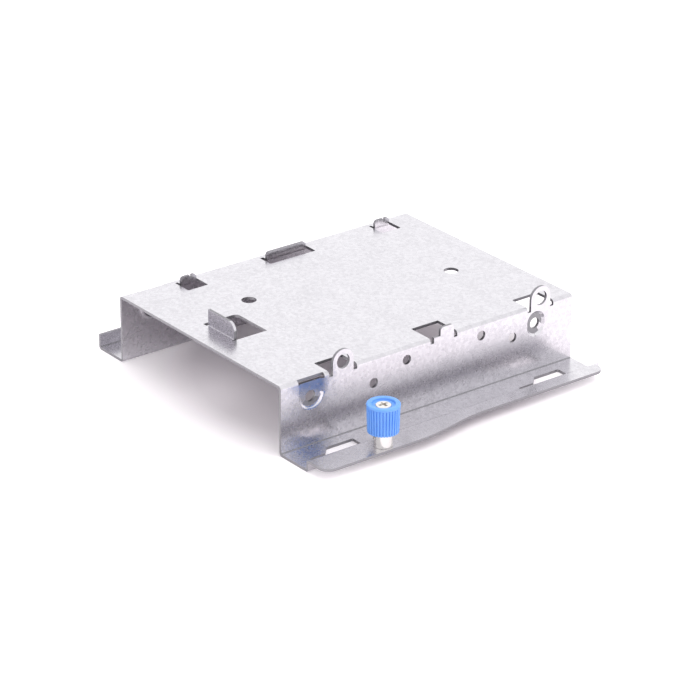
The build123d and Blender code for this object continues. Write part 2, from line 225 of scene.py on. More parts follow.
# %% [markdown]
# ## Nickel plate, drawn wire and knob plastic
#
# The ferrule and the screw are turned from steel and nickel plated: bright, slightly warm, and
# smooth but for fine rings from the lathe. The spring is drawn steel wire, a little darker. The
# knob is injection-moulded nylon, dyed blue in the mass. Its mould was spark-eroded, so the
# plastic is satin, not glossy, and light goes a short way into it.

# %% Materials of the thumbscrew
LATHE_RING = 0.12 * MM
RING_SQUEEZE = 0.05
RING_HEIGHT = 0.01 * MM
RING_STRENGTH = 0.2
STAIN = 2 * MM
CLEANER = 0.05
DULLER = 0.09
MOULD_GRAIN = 0.15 * MM
MOULD_HEIGHT = 0.02 * MM
MOULD_STRENGTH = 0.25
FLOW_SCALE = 0.3 / MM
NYLON_IOR = 1.53
NYLON_SMOOTHEST = 0.36
NYLON_ROUGHEST = 0.52
LIGHT_SHARE = 0.15
LIGHT_SPREAD = (0.5, 0.8, 1.6)
LIGHT_DEPTH = 0.4 * MM


def turned_metal(name, colour, base_roughness):
    """Plated or drawn metal with fine rings about the upright axis of the screw."""
    material, tree = start_material(name)
    place = add_node(tree, "ShaderNodeTexCoord").outputs["Object"]
    rings = add_node(tree, "ShaderNodeMapping", inputs={
        "Vector": place,
        "Scale": (RING_SQUEEZE / LATHE_RING, RING_SQUEEZE / LATHE_RING, 1 / LATHE_RING)})
    marks = add_node(tree, "ShaderNodeTexNoise", inputs={
        "Vector": rings.outputs[0], "Scale": 1.0, "Detail": 3.0})
    stain = add_node(tree, "ShaderNodeTexNoise", inputs={
        "Vector": place, "Scale": 1 / STAIN, "Detail": 2.0})
    roughness = add_node(tree, "ShaderNodeMapRange", inputs={
        "Value": stain.outputs["Fac"], "To Min": base_roughness - CLEANER,
        "To Max": base_roughness + DULLER})
    bump = add_node(tree, "ShaderNodeBump", inputs={
        "Height": marks.outputs["Fac"], "Strength": RING_STRENGTH, "Distance": RING_HEIGHT})
    shader = add_node(tree, "ShaderNodeBsdfPrincipled", inputs={
        "Base Color": linear(colour), "Metallic": 1.0,
        "Roughness": roughness.outputs[0], "Normal": bump.outputs[0]})
    finish_material(tree, shader)
    return material


def moulded_nylon(name, colour, pale):
    """Dyed nylon from a spark-eroded mould: satin, with a fine even grain."""
    material, tree = start_material(name)
    place = add_node(tree, "ShaderNodeTexCoord").outputs["Object"]
    grain = add_node(tree, "ShaderNodeTexNoise", inputs={
        "Vector": place, "Scale": 1 / MOULD_GRAIN, "Detail": 2.0})
    flow = add_node(tree, "ShaderNodeTexNoise", inputs={
        "Vector": place, "Scale": FLOW_SCALE, "Detail": 2.0})
    colour_mix = add_node(tree, "ShaderNodeMix", {"data_type": "RGBA"}, {
        0: flow.outputs["Fac"], 6: linear(colour), 7: linear(pale)})
    roughness = add_node(tree, "ShaderNodeMapRange", inputs={
        "Value": grain.outputs["Fac"], "To Min": NYLON_SMOOTHEST, "To Max": NYLON_ROUGHEST})
    bump = add_node(tree, "ShaderNodeBump", inputs={
        "Height": grain.outputs["Fac"], "Strength": MOULD_STRENGTH, "Distance": MOULD_HEIGHT})
    shader = add_node(tree, "ShaderNodeBsdfPrincipled", inputs={
        "Base Color": colour_mix.outputs[2], "Roughness": roughness.outputs[0], "IOR": NYLON_IOR,
        "Subsurface Weight": LIGHT_SHARE, "Subsurface Radius": LIGHT_SPREAD,
        "Subsurface Scale": LIGHT_DEPTH, "Normal": bump.outputs[0]})
    finish_material(tree, shader)
    return material


nickel = turned_metal("nickel_plated_turned_steel", "#DAD7D4", 0.13)
wire = turned_metal("drawn_spring_steel", "#A9A9AC", 0.30)
nylon = moulded_nylon("blue_moulded_nylon", "#5C9AEE", "#77ABF2")
print("Materials made:", [m.name for m in (zinc, nickel, wire, nylon)])

# %% [markdown]
# ## A closed skin with broken edges
#
# The exact folds, windows and pads come from the CAD mesh. What a CAD mesh lacks is the broken
# edge of real sheet metal: the punch pulls the surface over a little, and that fine round catches
# a line of light. The bevel needs a closed skin, and a CAD mesh comes as loose triangles, so a
# copy is merged first, its flat faces are joined, and then each sharp edge gets a narrow chamfer.
# Weighted normals keep the flats flat beside the smooth folds.

# %% Helpers for a closed skin
EDGE_BREAK = 0.07 * MM
MERGE_DISTANCE = 0.002 * MM
FLAT_ANGLE = math.radians(0.5)
SHARP_ANGLE = math.radians(30)


def closed_skin(node_name):
    """The mesh of a CAD node as one closed skin, with its flat faces joined."""
    skin = bmesh.new()
    skin.from_mesh(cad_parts[node_name].data)
    bmesh.ops.remove_doubles(skin, verts=skin.verts, dist=MERGE_DISTANCE)
    bmesh.ops.dissolve_limit(
        skin, angle_limit=FLAT_ANGLE, verts=skin.verts, edges=skin.edges, delimit={"NORMAL"}
    )
    return skin


def break_edges(skin, width):
    """Narrow chamfer on every sharp edge."""
    sharp = [e for e in skin.edges if len(e.link_faces) == 2
             and e.calc_face_angle(0) > SHARP_ANGLE]
    bmesh.ops.bevel(
        skin, geom=sharp, offset=width, segments=1, profile=0.5, affect="EDGES",
        clamp_overlap=True, material=-1,
    )


def finish_skin(skin, name, material):
    """A mesh from the skin, smooth on its folds and crisp on its flats."""
    mesh = bpy.data.meshes.new(name)
    skin.to_mesh(mesh)
    skin.free()
    mesh.materials.append(material)
    mesh.shade_smooth()
    mesh.set_sharp_from_angle(angle=SHARP_ANGLE)
    holder = bpy.data.objects.new(name, mesh)
    bpy.context.collection.objects.link(holder)
    weighted = holder.modifiers.new("weighted", "WEIGHTED_NORMAL")
    weighted.keep_sharp = True
    bpy.context.view_layer.update()
    shown = holder.evaluated_get(bpy.context.evaluated_depsgraph_get())
    finished = bpy.data.meshes.new_from_object(shown)
    bpy.data.objects.remove(holder)
    finished.name = name
    return finished


print("Broken edge in mm:", round(EDGE_BREAK / MM, 3))

# %% [markdown]
# ## Where the steel is bare, and where the folds get painted shade
#
# The bracket's skin learns where the sheet was cut, and where its folds get painted shade. A ray
# from a broad face, straight in, meets the far side after one sheet thickness. A ray from a cut
# edge runs on through the sheet, so it goes further. The long folds are the faces that lean
# across the bay and not along it. Their inner side, which gets the full painted shade of the
# corner, is known by its concave edges, and their outer side gets a little painted shade to dull
# its highlight.

# %% Marking the bare steel and the painted fold shade
SHEET = 0.8 * MM
BROAD_REACH = 1.4 * SHEET
RAY_START = 0.01 * MM
LEAN = 0.1
LEVEL = 0.01
OUTER_FOLD_SHADE = 0.15
INNER_FOLD_SHADE = 1.0


def mark_bare_steel_and_fold_shade(skin):
    """Stores 1 on cut edges (bare steel) and inside long folds (painted shade), less painted
    shade outside them.
    """
    layer = skin.faces.layers.float.new("bare_steel_and_fold_shade")
    tree = BVHTree.FromBMesh(skin)
    for face in skin.faces:
        start = face.calc_center_median_weighted() - face.normal * RAY_START
        reach = tree.ray_cast(start, -face.normal)[3]
        is_broad = reach is not None and reach < BROAD_REACH
        across = min(abs(face.normal.x), abs(face.normal.z))
        bends = [e.calc_face_angle_signed(0) for e in face.edges
                 if e.calc_face_angle(0) < SHARP_ANGLE]
        # Long folds get painted shade: in full on the inner side, a little on the outer side to
        # dull its highlight
        if across > LEAN and abs(face.normal.y) < LEVEL:
            face[layer] = OUTER_FOLD_SHADE if sum(bends) > 0 else INNER_FOLD_SHADE
        else:
            face[layer] = 0.0 if is_broad else 1.0


bracket_skin = closed_skin("bracket")
mark_bare_steel_and_fold_shade(bracket_skin)
bare_and_fold_shade_layer = bracket_skin.faces.layers.float["bare_steel_and_fold_shade"]
# The faces with the full grey include the inner sides of the long folds, which hold painted shade
print("Faces of bare steel:", sum(face[bare_and_fold_shade_layer] == 1.0 for face in bracket_skin.faces),
      "of", len(bracket_skin.faces))

# %% [markdown]
# ## The folded bracket and the pressed ferrule
#
# Each finished piece rides a body of the CAD model, so that it moves with it, and takes the place
# of the CAD node it was made from. The ferrule is a turned collar that is pressed into the ear,
# and it gets its broken edges in the same way as the sheet.

# %% Bracket and ferrule


def link_piece(name, mesh, body):
    """A new piece that rides a body."""
    piece = bpy.data.objects.new(name, mesh)
    bpy.context.collection.objects.link(piece)
    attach(piece, body)
    return piece


break_edges(bracket_skin, EDGE_BREAK)
bracket = link_piece("folded_bracket", finish_skin(bracket_skin, "folded_bracket", zinc),
                     "holder")
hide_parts("bracket")
print("Bracket faces:", len(bracket.data.polygons))

ferrule_skin = closed_skin("ferrule")
break_edges(ferrule_skin, EDGE_BREAK)
ferrule = link_piece("pressed_ferrule", finish_skin(ferrule_skin, "pressed_ferrule", nickel),
                     "holder")
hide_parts("ferrule")
print("Ferrule faces:", len(ferrule.data.polygons))

# %% [markdown]
# ## A lathe for round pieces
#
# The knob and the screw are round, so each is one outline turned about an axis. An outline is a
# short list of corners, each with its own rounding, because a mould and a lathe tool both leave
# rounded corners. The rings of points are made by code, and joined with four-sided faces.

# %% Lathe
TURN_STEPS = 128
ROUND_STEPS = 5
ON_AXIS = 0.0001 * MM
axis_low, axis_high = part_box("captive_screw")
AXIS = Vector(((axis_low.x + axis_high.x) / 2, (axis_low.y + axis_high.y) / 2, 0))


def rounded_outline(corners):
    """Radius and height of each point on a closed outline, from (radius, height, rounding)."""
    points = []
    for number, (radius, height, rounding) in enumerate(corners):
        here = Vector((radius, height))
        if not rounding:
            points.append(here)
            continue
        before = Vector(corners[number - 1][:2]) - here
        after = Vector(corners[(number + 1) % len(corners)][:2]) - here
        half_angle = before.angle(after) / 2
        run = rounding / math.tan(half_angle)
        middle = here + (before.normalized() + after.normalized()).normalized() * (
            rounding / math.sin(half_angle))
        start = here + before.normalized() * run - middle
        end = here + after.normalized() * run - middle
        for step in range(ROUND_STEPS + 1):
            points.append(middle + start.slerp(end, step / ROUND_STEPS).normalized() * rounding)
    return points


def turned(corners):
    """Closed skin of an outline turned about the thumbscrew's axis."""
    skin = bmesh.new()
    rings = []
    for point in rounded_outline(corners):
        if point.x < ON_AXIS:
            rings.append([skin.verts.new(AXIS + Vector((0, 0, point.y)))])
            continue
        angles = [2 * math.pi * step / TURN_STEPS for step in range(TURN_STEPS)]
        rings.append([
            skin.verts.new(AXIS + Vector((point.x * math.cos(a), point.x * math.sin(a), point.y)))
            for a in angles
        ])
    for number, ring in enumerate(rings):
        other = rings[(number + 1) % len(rings)]
        if len(ring) == 1 and len(other) == 1:
            continue
        for step in range(TURN_STEPS):
            loop = [ring[step % len(ring)], ring[(step + 1) % len(ring)],
                    other[(step + 1) % len(other)], other[step % len(other)]]
            skin.faces.new(list(dict.fromkeys(loop)))
    bmesh.ops.recalc_face_normals(skin, faces=skin.faces)
    return skin


print("Thumbscrew axis in mm:", [round(v / MM, 2) for v in AXIS])

# %% [markdown]
# ## Pieces made by node trees
#
# Ribs, threads and coils repeat, or follow a path. Geometry Nodes are made for that: one rib is
# drawn and copied round the axis, one profile follows a spiral. Each tree has named inputs, so
# the same tree gives a coarser knurl or a longer spring. The tree is run once and its result is
# kept as a plain mesh.

# %% Running a node tree once


def start_group(name, inputs):
    """A new geometry node tree and the outlets of its named inputs."""
    tree = bpy.data.node_groups.new(name, "GeometryNodeTree")
    tree.interface.new_socket("Geometry", in_out="OUTPUT", socket_type="NodeSocketGeometry")
    for label, kind in inputs.items():
        tree.interface.new_socket(label, in_out="INPUT", socket_type=kind)
    return tree, add_node(tree, "NodeGroupInput").outputs


def end_group(tree, geometry, material):
    """Realizes what the tree made, gives it its material and places it on the axis."""
    real = add_node(tree, "GeometryNodeRealizeInstances", inputs={"Geometry": geometry})
    placed = add_node(tree, "GeometryNodeTransform", inputs={
        "Geometry": real.outputs[0], "Translation": AXIS})
    dressed = add_node(tree, "GeometryNodeSetMaterial", inputs={
        "Geometry": placed.outputs[0], "Material": material})
    add_node(tree, "NodeGroupOutput", inputs={"Geometry": dressed.outputs[0]})


def run_group(tree, values):
    """The plain mesh that a tree makes from these input values."""
    host = bpy.data.objects.new(tree.name, bpy.data.meshes.new(tree.name))
    bpy.context.collection.objects.link(host)
    modifier = host.modifiers.new("nodes", "NODES")
    modifier.node_group = tree
    for item in tree.interface.items_tree:
        if item.item_type == "SOCKET" and item.name in values:
            modifier[item.identifier] = values[item.name]
    bpy.context.view_layer.update()
    shown = host.evaluated_get(bpy.context.evaluated_depsgraph_get())
    mesh = bpy.data.meshes.new_from_object(shown)
    bpy.data.objects.remove(host)
    return mesh


print("Node trees made so far:", len(bpy.data.node_groups))

# %% [markdown]
# ## The knob's cup
#
# The knob is a cup, moulded with straight ribs for the fingers and a smooth rounded rim. The cup
# is turned first, only as wide as the bottom of the grooves between the ribs. Its top is dished
# round the screw's head, and the bore below it slides over the ferrule.

# %% Knob body
RIB_DEPTH = 0.35 * MM
KNOB_FOOT_RADIUS = 4.2 * MM
KNOB_RIM_STEP = 0.05 * MM
KNOB_RIM = 0.8 * MM
KNOB_BORE = 2.9 * MM
KNOB_DISH = 3.1 * MM
KNOB_DISH_DEPTH = 0.7 * MM
HEAD_RADIUS = 2.2 * MM
HEAD_HEIGHT = 2.1 * MM
RIM_ROUND = 0.4 * MM
DISH_ROUND = 0.3 * MM
CUP_ROUND = 0.15 * MM
SMALL_ROUND = 0.1 * MM
knob_low, knob_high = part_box("thumb_knob")
knob_radius = (knob_high.x - knob_low.x) / 2
rim_z = knob_high.z - KNOB_RIM
dish_z = knob_high.z - KNOB_DISH_DEPTH
head_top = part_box("captive_screw")[1].z
web_z = head_top - HEAD_HEIGHT
core_radius = knob_radius - KNOB_RIM_STEP - RIB_DEPTH


def knob_skin():
    """Cup with a rounded rim, a dish round the screw's head and the bore below."""
    return turned([
        (KNOB_BORE, knob_low.z, CUP_ROUND),
        (KNOB_FOOT_RADIUS - RIB_DEPTH, knob_low.z, SMALL_ROUND),
        (core_radius, rim_z, 0),
        (knob_radius, rim_z, CUP_ROUND),
        (knob_radius, knob_high.z, RIM_ROUND),
        (KNOB_DISH, knob_high.z, DISH_ROUND),
        (KNOB_DISH, dish_z, SMALL_ROUND),
        (HEAD_RADIUS, dish_z, 0),
        (HEAD_RADIUS, web_z, 0),
        (KNOB_BORE, web_z, SMALL_ROUND),
    ])


knob = link_piece("knob_body", finish_skin(knob_skin(), "knob_body", nylon),
                  "thumbscrew")
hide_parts("thumb_knob")
print("Knob faces:", len(knob.data.polygons))

# %% [markdown]
# ## The knob's ribs
#
# The node tree draws one rib along the slanting flank: a rounded bar from the foot to the rim.
# It is copied round the axis, each copy turned by its share of the circle. A count as an input
# makes a finer or coarser knurl of the same tree.

# %% Ribs round the knob
KNOB_RIBS = 32
RIB_WIDTH = 0.56 * MM
RIB_ROUND = 0.14 * MM
RIB_ROUND_STEPS = 3
RIB_FOOT_LIFT = 0.05 * MM
RIB_OVERLAP = 0.1 * MM
RIB_SHARP_ANGLE = math.radians(40)


def rib_tree():
    """One rounded bar up the flank, copied round the axis."""
    tree, given = start_group("knob_ribs", {
        "Ribs": "NodeSocketInt",
        "Foot Radius": "NodeSocketFloat", "Foot Height": "NodeSocketFloat",
        "Rim Radius": "NodeSocketFloat", "Rim Height": "NodeSocketFloat",
        "Rib Width": "NodeSocketFloat", "Rib Depth": "NodeSocketFloat",
        "Rib Round": "NodeSocketFloat",
    })
    foot = add_node(tree, "ShaderNodeCombineXYZ", inputs={
        "X": given["Foot Radius"], "Z": given["Foot Height"]})
    rim = add_node(tree, "ShaderNodeCombineXYZ", inputs={
        "X": given["Rim Radius"], "Z": given["Rim Height"]})
    flank = add_node(tree, "GeometryNodeCurvePrimitiveLine", inputs={
        "Start": foot.outputs[0], "End": rim.outputs[0]})
    upright = add_node(tree, "GeometryNodeSetCurveNormal", {"mode": "Z_UP"}, {
        "Curve": flank.outputs[0]})
    # The bar reaches as far into the cup as it stands out of it, so nothing shows behind it
    full_depth = add_node(tree, "ShaderNodeMath", {"operation": "MULTIPLY"}, {
        0: given["Rib Depth"], 1: 2.0})
    box = add_node(tree, "GeometryNodeCurvePrimitiveQuadrilateral", inputs={
        "Width": given["Rib Width"], "Height": full_depth.outputs[0]})
    profile = add_node(tree, "GeometryNodeFilletCurve", {"mode": "POLY"}, {
        "Curve": box.outputs[0], "Count": RIB_ROUND_STEPS, "Radius": given["Rib Round"]})
    bar = add_node(tree, "GeometryNodeCurveToMesh", inputs={
        "Curve": upright.outputs[0], "Profile Curve": profile.outputs[0], "Fill Caps": True})
    places = add_node(tree, "GeometryNodePoints", inputs={"Count": given["Ribs"]})
    share = add_node(tree, "ShaderNodeMath", {"operation": "DIVIDE"}, {
        0: 2 * math.pi, 1: given["Ribs"]})
    turn = add_node(tree, "ShaderNodeMath", {"operation": "MULTIPLY"}, {
        0: add_node(tree, "GeometryNodeInputIndex").outputs[0], 1: share.outputs[0]})
    rotation = add_node(tree, "FunctionNodeAxisAngleToRotation", inputs={
        "Axis": (0, 0, 1), "Angle": turn.outputs[0]})
    ring = add_node(tree, "GeometryNodeInstanceOnPoints", inputs={
        "Points": places.outputs[0], "Instance": bar.outputs[0],
        "Rotation": rotation.outputs[0]})
    end_group(tree, ring.outputs[0], nylon)
    return tree


rib_mesh = run_group(rib_tree(), {
    "Ribs": KNOB_RIBS,
    "Foot Radius": KNOB_FOOT_RADIUS - RIB_DEPTH, "Foot Height": knob_low.z + RIB_FOOT_LIFT,
    "Rim Radius": core_radius, "Rim Height": rim_z + RIB_OVERLAP,
    "Rib Width": RIB_WIDTH, "Rib Depth": RIB_DEPTH, "Rib Round": RIB_ROUND,
})
rib_mesh.shade_smooth()
rib_mesh.set_sharp_from_angle(angle=RIB_SHARP_ANGLE)
link_piece("knob_ribs", rib_mesh, "thumbscrew")
print("Rib faces:", len(rib_mesh.polygons))

# %% [markdown]
# ## The screw
#
# The screw is turned too: a head pressed into the knob, a thin neck through the ferrule, and the
# core of a short thread. The neck is thinner than the thread, so the ferrule's web can hold the
# screw back when it is loose.

# %% Screw blank
NECK_RADIUS = 1.1 * MM
THREAD_RADIUS = 1.5 * MM
THREAD_LENGTH = 3.2 * MM
THREAD_RIDGE = 0.28 * MM
TIP_TAPER = 0.2 * MM
TIP_LENGTH = 0.3 * MM
NECK_ROUND = 0.05 * MM
HEAD_ROUND = 0.35 * MM
tip_z = axis_low.z
thread_core = THREAD_RADIUS - THREAD_RIDGE


def screw_skin():
    """Head, neck and the core of the thread."""
    return turned([
        (0, tip_z, 0),
        (thread_core - TIP_TAPER, tip_z, 0),
        (thread_core, tip_z + TIP_LENGTH, SMALL_ROUND),
        (thread_core, tip_z + THREAD_LENGTH, NECK_ROUND),
        (NECK_RADIUS, tip_z + THREAD_LENGTH, 0),
        (NECK_RADIUS, web_z, SMALL_ROUND),
        (HEAD_RADIUS, web_z, 0),
        (HEAD_RADIUS, head_top, HEAD_ROUND),
        (0, head_top, 0),
    ])


screw_blank = screw_skin()
print("Screw blank faces:", len(screw_blank.faces))

# %% [markdown]
# ## The cross recess
#
# The recess for the screwdriver is punched into the head, and a punch needs slanting sides to let
# go, so the cutter is a cross that gets smaller downwards. A Boolean takes it out of the blank.

# %% Punching the recess
CROSS_LENGTH = 2.8 * MM
CROSS_WIDTH = 0.8 * MM
CROSS_DEPTH = 1.1 * MM
CROSS_TAPER = 0.55
PUNCH_CLEAR = 0.2 * MM


def cross_cutter():
    """A cross with slanting sides, a little above the head's top."""
    cutter = bmesh.new()
    a, b = CROSS_WIDTH / 2, CROSS_LENGTH / 2
    corners = [(b, -a), (b, a), (a, a), (a, b), (-a, b), (-a, a),
               (-b, a), (-b, -a), (-a, -a), (-a, -b), (a, -b), (a, -a)]
    slope = (1 - CROSS_TAPER) / CROSS_DEPTH
    rings = []
    for depth in (-PUNCH_CLEAR, CROSS_DEPTH):
        scale = 1 - slope * depth
        rings.append([
            cutter.verts.new(AXIS + Vector((x * scale, y * scale, head_top - depth)))
            for x, y in corners
        ])
    top, bottom = rings
    for step in range(len(corners)):
        after = (step + 1) % len(corners)
        cutter.faces.new([top[step], top[after], bottom[after], bottom[step]])
    cutter.faces.new(top)
    cutter.faces.new(bottom)
    bmesh.ops.recalc_face_normals(cutter, faces=cutter.faces)
    return cutter


def punched(skin, cutter, name, material):
    """The skin with the cutter taken out of it."""
    cutter_mesh = bpy.data.meshes.new("punch")
    cutter.to_mesh(cutter_mesh)
    cutter.free()
    punch = bpy.data.objects.new("punch", cutter_mesh)
    blank_mesh = bpy.data.meshes.new("blank")
    skin.to_mesh(blank_mesh)
    skin.free()
    blank = bpy.data.objects.new("blank", blank_mesh)
    for piece in (punch, blank):
        bpy.context.collection.objects.link(piece)
    cut = blank.modifiers.new("punch", "BOOLEAN")
    cut.object = punch
    cut.operation = "DIFFERENCE"
    cut.solver = "EXACT"
    bpy.context.view_layer.update()
    shown = blank.evaluated_get(bpy.context.evaluated_depsgraph_get())
    result = bmesh.new()
    result.from_mesh(shown.to_mesh())
    bpy.data.objects.remove(punch)
    bpy.data.objects.remove(blank)
    return finish_skin(result, name, material)


screw = link_piece("screw_body", punched(screw_blank, cross_cutter(), "screw_body", nickel),
                   "thumbscrew")
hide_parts("captive_screw")
print("Screw faces:", len(screw.data.polygons))

# %% [markdown]
# ## The thread
#
# The thread is an M3, whose ridge climbs half a millimetre each turn. A thread is rolled between
# ribbed dies, which push the metal up into a ridge. Here it is a small triangle that follows a
# spiral round the core.

# %% Thread round the core
THREAD_PITCH = 0.5 * MM
THREAD_STEPS = 48


def thread_tree():
    """A small triangle that follows a spiral."""
    tree, given = start_group("screw_thread", {
        "Turns": "NodeSocketFloat", "Height": "NodeSocketFloat",
        "Core Radius": "NodeSocketFloat", "Ridge": "NodeSocketFloat",
        "Foot Height": "NodeSocketFloat",
    })
    spiral = add_node(tree, "GeometryNodeCurveSpiral", inputs={
        "Resolution": THREAD_STEPS, "Rotations": given["Turns"], "Height": given["Height"],
        "Start Radius": given["Core Radius"], "End Radius": given["Core Radius"]})
    upright = add_node(tree, "GeometryNodeSetCurveNormal", {"mode": "Z_UP"}, {
        "Curve": spiral.outputs[0]})
    triangle = add_node(tree, "GeometryNodeCurvePrimitiveCircle", inputs={
        "Resolution": 3, "Radius": given["Ridge"]})
    ridge = add_node(tree, "GeometryNodeCurveToMesh", inputs={
        "Curve": upright.outputs[0], "Profile Curve": triangle.outputs[0], "Fill Caps": True})
    lift = add_node(tree, "ShaderNodeCombineXYZ", inputs={"Z": given["Foot Height"]})
    lifted = add_node(tree, "GeometryNodeTransform", inputs={
        "Geometry": ridge.outputs[0], "Translation": lift.outputs[0]})
    end_group(tree, lifted.outputs[0], nickel)
    return tree


thread_run = THREAD_LENGTH - THREAD_PITCH
thread_mesh = run_group(thread_tree(), {
    "Turns": thread_run / THREAD_PITCH, "Height": thread_run, "Core Radius": thread_core,
    "Ridge": THREAD_RIDGE, "Foot Height": tip_z + THREAD_PITCH / 2,
})
link_piece("screw_thread", thread_mesh, "thumbscrew")
print("Thread faces:", len(thread_mesh.polygons))

# %% [markdown]
# ## The spring
#
# A compression spring is wound with its end turns closed, so that it stands square. In the node
# tree a straight line becomes the coil: each point is turned round the axis by its share of the
# length. It climbs by one wire a turn, as closed turns do, and by the rest of the height only
# between the closed ends. The spring rides the plunger's body.

# %% Coil spring
WIRE = 0.35 * MM
COIL_RADIUS = 1.65 * MM
COIL_TURNS = 6.5
COIL_POINTS = 260
WIRE_SIDES = 10
CLOSED_SHARE = 0.15
coil_low, coil_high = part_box("lift_spring")


def coil_tree():
    """A wire that winds up round the axis, with closed end turns."""
    tree, given = start_group("coil_spring", {
        "Turns": "NodeSocketFloat", "Radius": "NodeSocketFloat", "Wire": "NodeSocketFloat",
        "Foot Height": "NodeSocketFloat", "Height": "NodeSocketFloat",
        "Closed Share": "NodeSocketFloat",
    })
    line = add_node(tree, "GeometryNodeCurvePrimitiveLine")
    points = add_node(tree, "GeometryNodeResampleCurve", inputs={
        "Curve": line.outputs[0], "Count": COIL_POINTS})
    along = add_node(tree, "GeometryNodeSplineParameter").outputs["Factor"]
    turns = add_node(tree, "ShaderNodeMath", {"operation": "MULTIPLY"}, {
        0: along, 1: given["Turns"]})
    angle = add_node(tree, "ShaderNodeMath", {"operation": "MULTIPLY"}, {
        0: turns.outputs[0], 1: 2 * math.pi})
    across = [
        add_node(tree, "ShaderNodeMath", {"operation": "MULTIPLY"}, {
            0: add_node(tree, "ShaderNodeMath", {"operation": wave}, {
                0: angle.outputs[0]}).outputs[0],
            1: given["Radius"]})
        for wave in ("COSINE", "SINE")
    ]
    closed_rise = add_node(tree, "ShaderNodeMath", {"operation": "MULTIPLY"}, {
        0: turns.outputs[0], 1: given["Wire"]})
    all_closed = add_node(tree, "ShaderNodeMath", {"operation": "MULTIPLY"}, {
        0: given["Turns"], 1: given["Wire"]})
    open_height = add_node(tree, "ShaderNodeMath", {"operation": "SUBTRACT"}, {
        0: given["Height"], 1: all_closed.outputs[0]})
    open_end = add_node(tree, "ShaderNodeMath", {"operation": "SUBTRACT"}, {
        0: 1.0, 1: given["Closed Share"]})
    open_rise = add_node(tree, "ShaderNodeMapRange", inputs={
        "Value": along, "From Min": given["Closed Share"], "From Max": open_end.outputs[0],
        "To Min": 0.0, "To Max": open_height.outputs[0]})
    rise = add_node(tree, "ShaderNodeMath", {"operation": "ADD"}, {
        0: closed_rise.outputs[0], 1: open_rise.outputs[0]})
    height = add_node(tree, "ShaderNodeMath", {"operation": "ADD"}, {
        0: rise.outputs[0], 1: given["Foot Height"]})
    place = add_node(tree, "ShaderNodeCombineXYZ", inputs={
        "X": across[0].outputs[0], "Y": across[1].outputs[0], "Z": height.outputs[0]})
    wound = add_node(tree, "GeometryNodeSetPosition", inputs={
        "Geometry": points.outputs[0], "Position": place.outputs[0]})
    half_wire = add_node(tree, "ShaderNodeMath", {"operation": "MULTIPLY"}, {
        0: given["Wire"], 1: 0.5})
    section = add_node(tree, "GeometryNodeCurvePrimitiveCircle", inputs={
        "Resolution": WIRE_SIDES, "Radius": half_wire.outputs[0]})
    solid = add_node(tree, "GeometryNodeCurveToMesh", inputs={
        "Curve": wound.outputs[0], "Profile Curve": section.outputs[0], "Fill Caps": True})
    end_group(tree, solid.outputs[0], wire)
    return tree


coil_height = coil_high.z - coil_low.z - WIRE
coil_mesh = run_group(coil_tree(), {
    "Turns": COIL_TURNS, "Radius": COIL_RADIUS, "Wire": WIRE,
    "Foot Height": coil_low.z + WIRE / 2, "Height": coil_height,
    "Closed Share": CLOSED_SHARE,
})
coil_mesh.shade_smooth()
coil = link_piece("coil_spring", coil_mesh, "plunger")
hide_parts("lift_spring")
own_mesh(coil)
print("Coil faces:", len(coil_mesh.polygons))

# %% [markdown]
# ## A white table
#
# The object stands on a white table whose far edge can't be seen. The table adds a share of
# white of its own that grows with distance, so that it runs into the white background but keeps
# the object's soft shadow. Seen from below it is clear, and so it is to the faces that stand on
# it, so that the underside can be looked at.

# %% Floor
FLOOR_SIZE = 4.0
FLOOR_GAP = 0.02 * MM
GLOW_START = 45 * MM
GLOW_END = 80 * MM
GLOW = 0.5
CONTACT = 0.1 * MM


def make_floor():
    """A white table top just under the object."""
    mesh = bpy.data.meshes.new("floor")
    s = FLOOR_SIZE / 2
    mesh.from_pydata([(-s, -s, 0), (s, -s, 0), (s, s, 0), (-s, s, 0)], [], [(0, 1, 2, 3)])
    floor = bpy.data.objects.new("floor", mesh)
    bpy.context.collection.objects.link(floor)
    floor.location.z = cad_low.z - FLOOR_GAP
    material, tree = start_material("white_table")
    path = add_node(tree, "ShaderNodeLightPath")
    seen = add_node(tree, "ShaderNodeMath", {"operation": "MAXIMUM"}, {
        0: path.outputs["Is Camera Ray"], 1: path.outputs["Is Glossy Ray"]})
    seen_too = add_node(tree, "ShaderNodeMath", {"operation": "MAXIMUM"}, {
        0: seen.outputs[0], 1: path.outputs["Is Transmission Ray"]})
    place = add_node(tree, "ShaderNodeTexCoord").outputs["Object"]
    distance = add_node(tree, "ShaderNodeVectorMath", {"operation": "LENGTH"}, {0: place})
    away = add_node(tree, "ShaderNodeMapRange", inputs={
        "Value": distance.outputs["Value"], "From Min": GLOW_START, "From Max": GLOW_END,
        "To Max": GLOW})
    share = add_node(tree, "ShaderNodeMath", {"operation": "MULTIPLY"}, {
        0: seen_too.outputs[0], 1: away.outputs[0]})
    matt = add_node(tree, "ShaderNodeBsdfDiffuse", inputs={"Color": linear("#F6F0F4")})
    glow = add_node(tree, "ShaderNodeEmission", inputs={
        "Color": linear("#FFFFFF"), "Strength": share.outputs[0]})
    both = add_node(tree, "ShaderNodeAddShader", inputs={
        0: matt.outputs[0], 1: glow.outputs[0]})
    below = add_node(tree, "ShaderNodeMath", {"operation": "MULTIPLY"}, {
        0: add_node(tree, "ShaderNodeNewGeometry").outputs["Backfacing"],
        1: path.outputs["Is Camera Ray"]})
    touching = add_node(tree, "ShaderNodeMath", {"operation": "LESS_THAN"}, {
        0: path.outputs["Ray Length"], 1: CONTACT})
    open_here = add_node(tree, "ShaderNodeMath", {"operation": "MAXIMUM"}, {
        0: below.outputs[0], 1: touching.outputs[0]})
    clear = add_node(tree, "ShaderNodeBsdfTransparent")
    one_way = add_node(tree, "ShaderNodeMixShader", inputs={
        0: open_here.outputs[0], 1: both.outputs[0], 2: clear.outputs[0]})
    finish_material(tree, one_way)
    mesh.materials.append(material)


make_floor()
print("Table width in m:", FLOOR_SIZE)

